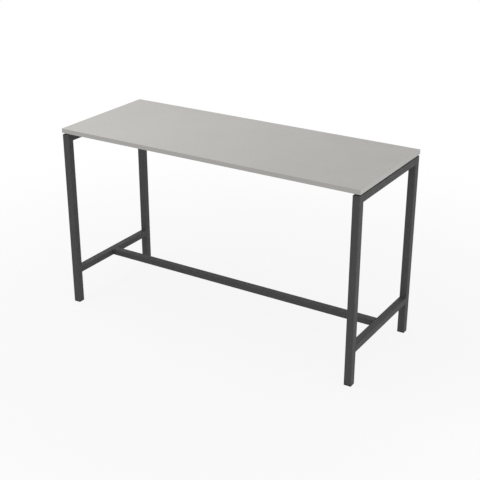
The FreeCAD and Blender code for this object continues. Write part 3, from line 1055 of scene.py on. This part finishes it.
def add_tube(node, axis, mitres=(0.0, 0.0), drills=(), drill_radius=0.0):
    """A painted tube in the place of a CAD node, along an axis, with its two ends' mitres."""
    steelwork = settings_of("steelwork")
    low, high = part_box(node)
    turn, width_axis, height_axis = tube_turns[axis]
    size = high - low
    height = getattr(size, height_axis)
    shortened = [abs(mitre) * height / 2 for mitre in mitres]
    start = (low + high) / 2
    setattr(start, axis, getattr(low, axis) + shortened[0])
    mesh = grown_mesh("Square Tube", aimed_points(node + "_tube", drills), {
        "Width": getattr(size, width_axis), "Height": height,
        "Length": getattr(size, axis) - sum(shortened), "Wall": steelwork.tube_wall,
        "Corner Round": steelwork.tube_round, "Lower Mitre": mitres[0], "Upper Mitre": mitres[1],
        "Start": start, "Turn": turn, "Drill Radius": drill_radius,
        "Finish": finish_for("frame_paint")})
    shape = arrised_mesh(mesh, steelwork.tube_arris)
    add_piece(node + "_tube", shape, "frame_paint", table_body, node)


# Weld lines ------------------------------------------------------------------------


def line_mesh(name, lines):
    """Open lines of points as a mesh of edges."""
    points = []
    edges = []
    for line in lines:
        edges += [(len(points) + index, len(points) + index + 1) for index in range(len(line) - 1)]
        points += line
    mesh = bpy.data.meshes.new(name)
    mesh.from_pydata(points, edges, [])
    return mesh


def corner_weld_lines():
    """Across each leg: under the top rail, and over and under the cross bar."""
    inset = settings_of("steelwork").tube_weld_inset
    lines = []
    for side, end in places:
        leg_low, leg_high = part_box(f"leg_{side}_{end}")
        rail_low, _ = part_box("top_rail_" + end)
        bar_low, bar_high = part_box("cross_bar_" + end)
        inner_y = leg_low.y if side == "rear" else leg_high.y
        for height in (rail_low.z, bar_high.z, bar_low.z):
            lines.append([(leg_low.x + inset, inner_y, height),
                          (leg_high.x - inset, inner_y, height)])
    return lines


def beam_weld_lines():
    """Where each beam's angle meets its end plate: in the angle's lap, and up its back."""
    steelwork = settings_of("steelwork")
    thickness, inset = steelwork.angle_thickness, steelwork.plate_weld_inset
    lines = []
    for side, end in places:
        low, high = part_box("beam_" + side)
        plate_low, plate_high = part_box(f"beam_plate_{side}_{end}")
        face_x = plate_low.x if end == "right" else plate_high.x
        foot = max(low.z, plate_low.z) + inset
        under_leaf = high.z - thickness
        back_y, toe_y = (low.y, high.y) if side == "front" else (high.y, low.y)
        inwards = math.copysign(1.0, toe_y - back_y)
        lap_y = back_y + inwards * thickness
        lines.append([(face_x, lap_y, foot), (face_x, lap_y, under_leaf),
                      (face_x, toe_y - inwards * inset, under_leaf)])
        lines.append([(face_x, back_y, foot), (face_x, back_y, plate_high.z - inset)])
    return lines


# Operators -------------------------------------------------------------------------


class TABLE_OT_board(bpy.types.Operator):
    """Finish the board: chipboard core, decorative sheet above and backing sheet below"""
    bl_idname = "standing_table.board"
    bl_label = "Board"

    def execute(self, context):
        joint = settings_of("board").joint_width
        add_arrised("board_top_laminate", "board_laminate", joint)
        add_arrised("board_backing_laminate", "backing_laminate", joint)
        give_finish(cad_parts["board_core"], "board_core")
        return {"FINISHED"}


class TABLE_OT_edging(bpy.types.Operator):
    """Glue the four plastic strips round the board, with a hairline where they meet"""
    bl_idname = "standing_table.edging"
    bl_label = "Edging"

    def execute(self, context):
        for name in [*sides, *ends]:
            add_arrised("edging_" + name, "edging", settings_of("board").joint_width)
        return {"FINISHED"}


class TABLE_OT_end_frames(bpy.types.Operator):
    """Make the end frames' tubes: legs and top rails, mitred together, and the low cross bars"""
    bl_idname = "standing_table.end_frames"
    bl_label = "End frames"

    def execute(self, context):
        fastener = settings_of("fastener")
        for side, end in places:
            add_tube(f"leg_{side}_{end}", "z", mitres=(0.0, sides[side]))
        for end, outwards in ends.items():
            low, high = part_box("top_rail_" + end)
            inner_x = low.x if outwards > 0 else high.x
            middles = [(low + high) / 2 for low, high in separate_boxes("beam_bolts")]
            drills = [((inner_x, middle.y, middle.z), (outwards, 0.0, 0.0))
                      for middle in middles if middle.x * outwards > 0]
            add_tube("top_rail_" + end, "y", (1.0, -1.0), drills,
                     fastener.bolt_radius + fastener.hole_clearance)
            add_tube("cross_bar_" + end, "y")
        return {"FINISHED"}


class TABLE_OT_stretcher(bpy.types.Operator):
    """Make the low stretcher between the cross bars, drilled from below for its two screws"""
    bl_idname = "standing_table.stretcher"
    bl_label = "Stretcher"

    def execute(self, context):
        fastener = settings_of("fastener")
        low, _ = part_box("stretcher")
        drills = [((place[0], place[1], low.z), up)
                  for place, _ in upright_points(separate_boxes("stretcher_screws"))]
        add_tube("stretcher", "x", drills=drills,
                 drill_radius=fastener.screw_radius + fastener.hole_clearance)
        return {"FINISHED"}


class TABLE_OT_beams(bpy.types.Operator):
    """Dress the beams and end plates, and the bare pieces inside the tubes"""
    bl_idname = "standing_table.beams"
    bl_label = "Beams and plates"

    def execute(self, context):
        steelwork = settings_of("steelwork")
        for side in sides:
            add_arrised("beam_" + side, "frame_paint", steelwork.plate_arris)
        for side, end in places:
            add_arrised(f"beam_plate_{side}_{end}", "frame_paint", steelwork.plate_arris)
            add_arrised(f"nut_plate_{side}_{end}", "bare_steel", steelwork.plate_arris)
        for end in ends:
            add_arrised("stretcher_spigot_" + end, "bare_steel", steelwork.tube_arris)
        return {"FINISHED"}


class TABLE_OT_welds(bpy.types.Operator):
    """Run the weld beads in the frame's inner corners and round the beams' ends"""
    bl_idname = "standing_table.welds"
    bl_label = "Welds"

    def execute(self, context):
        steelwork = settings_of("steelwork")
        lines = corner_weld_lines() + beam_weld_lines()
        mesh = grown_mesh("Weld Beads", line_mesh("weld_lines", lines), {
            "Throat": steelwork.weld_throat, "Ripple": steelwork.weld_ripple,
            "Ripple Height": steelwork.weld_ripple_height,
            "Unevenness": steelwork.weld_unevenness, "Seed": float(steelwork.weld_seed),
            "Finish": finish_for("frame_paint")})
        add_piece("weld_beads", mesh, "frame_paint", table_body)
        return {"FINISHED"}


class TABLE_OT_bolts(bpy.types.Operator):
    """Drive the hexagon bolts through the end plates into the top rails"""
    bl_idname = "standing_table.bolts"
    bl_label = "Beam bolts"

    def execute(self, context):
        head_height = settings_of("fastener").bolt_head_height
        boxes = separate_boxes("beam_bolts")
        points = []
        for low, high in boxes:
            middle = (low + high) / 2
            outwards = math.copysign(1.0, middle.x)
            head_x = low.x if outwards > 0 else high.x
            seat = (head_x + outwards * head_height, middle.y, middle.z)
            points.append((seat, (outwards, 0.0, 0.0)))
        low, high = boxes[0]
        shape = hexagon_bolt_mesh(high.x - low.x - head_height)
        add_fasteners("beam_bolts_threaded", shape, points, "beam_bolts")
        return {"FINISHED"}


class TABLE_OT_screws(bpy.types.Operator):
    """Drive the domed screws up into the board and into the stretcher's spigots"""
    bl_idname = "standing_table.screws"
    bl_label = "Screws"

    def execute(self, context):
        head_height = settings_of("fastener").screw_head_height
        for node in ("board_screws", "stretcher_screws"):
            boxes = separate_boxes(node)
            low, high = boxes[0]
            shape = dome_screw_mesh((high.x - low.x) / 2, high.z - low.z - head_height)
            add_fasteners(node + "_threaded", shape, upright_points(boxes, head_height), node)
        return {"FINISHED"}


class TABLE_OT_inserts(bpy.types.Operator):
    """Set the threaded inserts into the board's underside"""
    bl_idname = "standing_table.inserts"
    bl_label = "Inserts"

    def execute(self, context):
        boxes = separate_boxes("board_inserts")
        low, high = boxes[0]
        shape = insert_mesh((high.x - low.x) / 2, high.z - low.z)
        add_fasteners("board_inserts_threaded", shape, upright_points(boxes), "board_inserts")
        return {"FINISHED"}


class TABLE_OT_spacers(bpy.types.Operator):
    """Lay the moulded spacers and pads between the steel and the board"""
    bl_idname = "standing_table.spacers"
    bl_label = "Spacers and pads"

    def execute(self, context):
        for node in ("board_spacers", "rail_pads"):
            add_arrised(node, "black_plastic", settings_of("foot").moulded_arris)
        return {"FINISHED"}


class TABLE_OT_plugs(bpy.types.Operator):
    """Press the moulded plugs into the legs, each with its captive nut"""
    bl_idname = "standing_table.plugs"
    bl_label = "Plugs and nuts"

    def execute(self, context):
        for side, end in places:
            add_arrised(f"leg_plug_{side}_{end}", "black_plastic", settings_of("foot").plug_arris)
        boxes = separate_boxes("foot_nuts")
        low, high = boxes[0]
        shape = hexagon_nut_mesh(high.y - low.y, high.z - low.z)
        add_fasteners("foot_nuts_chamfered", shape, upright_points(boxes), "foot_nuts",
                      largest_roll=0.0)
        return {"FINISHED"}


class TABLE_OT_feet(bpy.types.Operator):
    """Make the levelling feet: a threaded stem and a square pad under each leg"""
    bl_idname = "standing_table.feet"
    bl_label = "Levelling feet"

    def execute(self, context):
        foot = settings_of("foot")
        for side, end in places:
            stem, pad = f"foot_stem_{side}_{end}", f"foot_pad_{side}_{end}"
            low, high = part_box(stem)
            _, pad_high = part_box(pad)
            shape = foot_stem_mesh(high.z - low.z, pad_high.z + foot.collar_gap - low.z)
            add_fasteners(stem + "_threaded", shape, upright_points([(low, high)]), stem,
                          body=stem, largest_roll=0.0)
            add_arrised(pad, "black_plastic", foot.moulded_arris, body=pad)
        return {"FINISHED"}


# Studio ----------------------------------------------------------------------------

white = (1.0, 1.0, 1.0, 1.0)
paper_grey = (0.86, 0.86, 0.86, 1.0)


def seen_directly(tree):
    """1 for camera, glossy and transmission rays, which see the white surroundings as they are."""
    rays = add_node(tree, "ShaderNodeLightPath").outputs
    camera_or_glossy = calculate(tree, "MAXIMUM", rays["Is Camera Ray"], rays["Is Glossy Ray"])
    return calculate(tree, "MAXIMUM", camera_or_glossy, rays["Is Transmission Ray"])


def mixed_shader(tree, share, first, second):
    return add_node(tree, "ShaderNodeMixShader", {0: share, 1: first, 2: second}).outputs["Shader"]


def add_floor():
    """A pale floor that keeps the shadow, turns to plain white far off and is clear from below."""
    studio = settings_of("studio")
    reach = studio.floor_reach
    mesh = bpy.data.meshes.new("studio_floor")
    corners = [(-reach, -reach, 0), (reach, -reach, 0), (reach, reach, 0), (-reach, reach, 0)]
    mesh.from_pydata(corners, [], [(0, 1, 2, 3)])
    material, tree, where = start_finish("pale_floor")
    tone = varied_tone(tree, where, paper_grey, grain_size=0.02, grain_amount=0.01,
                       cloud_size=1.5, cloud_amount=0.01)
    paper = add_node(tree, "ShaderNodeBsdfDiffuse", {"Color": tone}).outputs["BSDF"]
    glow = add_node(tree, "ShaderNodeEmission", {"Color": white}).outputs["Emission"]
    distance = add_node(tree, "ShaderNodeVectorMath", {0: where},
                        operation="LENGTH").outputs["Value"]
    own_white = eased_map(tree, distance, **{"From Min": studio.glow_start,
                                             "From Max": studio.glow_end,
                                             "To Min": studio.floor_glow})
    share = times(tree, seen_directly(tree), own_white)
    above = mixed_shader(tree, share, paper, glow)
    from_below = add_node(tree, "ShaderNodeNewGeometry").outputs["Backfacing"]
    clear = add_node(tree, "ShaderNodeBsdfTransparent").outputs["BSDF"]
    seen = mixed_shader(tree, from_below, above, clear)
    add_node(tree, "ShaderNodeOutputMaterial", {"Surface": seen})
    mesh.materials.append(material)
    linked_object("studio_floor", mesh)


def add_surroundings():
    """Surroundings that look white and light the table at a plain level."""
    world = bpy.data.worlds.new("white_studio")
    bpy.context.scene.world = world
    world.use_nodes = True
    tree = world.node_tree
    tree.nodes.clear()
    fill, plain = [add_node(tree, "ShaderNodeBackground", {"Color": white, "Strength": strength})
                   for strength in (settings_of("studio").fill_strength, 1.0)]
    seen = mixed_shader(tree, seen_directly(tree), fill.outputs[0], plain.outputs[0])
    add_node(tree, "ShaderNodeOutputWorld", {"Surface": seen})


def add_softbox(name, place, aim, width, height, power):
    lamp = bpy.data.lights.new(name, "AREA")
    lamp.shape = "RECTANGLE"
    lamp.size = width
    lamp.size_y = height
    lamp.energy = power
    box = linked_object(name, lamp)
    box.visible_camera = False
    box.location = place
    box.rotation_euler = (Vector(aim) - Vector(place)).to_track_quat("-Z", "Y").to_euler()


def add_camera():
    studio = settings_of("studio")
    lens = bpy.data.cameras.new("table_camera")
    lens.lens = studio.lens
    camera = linked_object("table_camera", lens)
    camera.location = studio.camera_place
    camera.rotation_euler = Euler((math.pi / 2 - studio.camera_tilt, 0.0, studio.camera_turn))
    bpy.context.scene.camera = camera


class TABLE_OT_studio(bpy.types.Operator):
    """Set up the pale floor, the soft lamps and the camera"""
    bl_idname = "standing_table.studio"
    bl_label = "Studio"

    def execute(self, context):
        studio = settings_of("studio")
        add_floor()
        add_surroundings()
        add_softbox("top_softbox", studio.top_place, studio.top_aim, studio.top_width,
                    studio.top_width, studio.top_power)
        add_softbox("right_strip", studio.right_place, studio.right_aim, studio.right_width,
                    studio.right_height, studio.right_power)
        add_camera()
        bpy.context.scene.view_settings.view_transform = "Standard"
        return {"FINISHED"}


# Add-on ----------------------------------------------------------------------------

operators = [TABLE_OT_board, TABLE_OT_edging, TABLE_OT_end_frames, TABLE_OT_stretcher,
             TABLE_OT_beams, TABLE_OT_welds, TABLE_OT_bolts, TABLE_OT_screws, TABLE_OT_inserts,
             TABLE_OT_spacers, TABLE_OT_plugs, TABLE_OT_feet, TABLE_OT_studio]
setting_groups = {"board": BoardSettings, "steelwork": SteelworkSettings,
                  "fastener": FastenerSettings, "foot": FootSettings, "studio": StudioSettings}


class TABLE_PT_sidebar(bpy.types.Panel):
    """Lists the table's pieces and their settings in the 3D view's sidebar"""
    bl_idname = "TABLE_PT_sidebar"
    bl_label = "Standing Table"
    bl_space_type = "VIEW_3D"
    bl_region_type = "UI"
    bl_category = "Table"

    def draw(self, context):
        for operator in operators:
            self.layout.operator(operator.bl_idname)
        for name, group in setting_groups.items():
            box = self.layout.box()
            box.label(text=name.capitalize())
            for setting in group.__annotations__:
                box.prop(settings_of(name), setting)


classes = [*setting_groups.values(), *operators, TABLE_PT_sidebar]


def register():
    for registered in classes:
        bpy.utils.register_class(registered)
    for name, group in setting_groups.items():
        setattr(bpy.types.Scene, "standing_table_" + name, PointerProperty(type=group))


def unregister():
    for name in setting_groups:
        delattr(bpy.types.Scene, "standing_table_" + name)
    for registered in reversed(classes):
        bpy.utils.unregister_class(registered)


def main():
    register()
    make = bpy.ops.standing_table
    make.board()
    make.edging()
    make.end_frames()
    make.stretcher()
    make.beams()
    make.welds()
    make.bolts()
    make.screws()
    make.inserts()
    make.spacers()
    make.plugs()
    make.feet()
    make.studio()


if __name__ == "__main__":
    main()
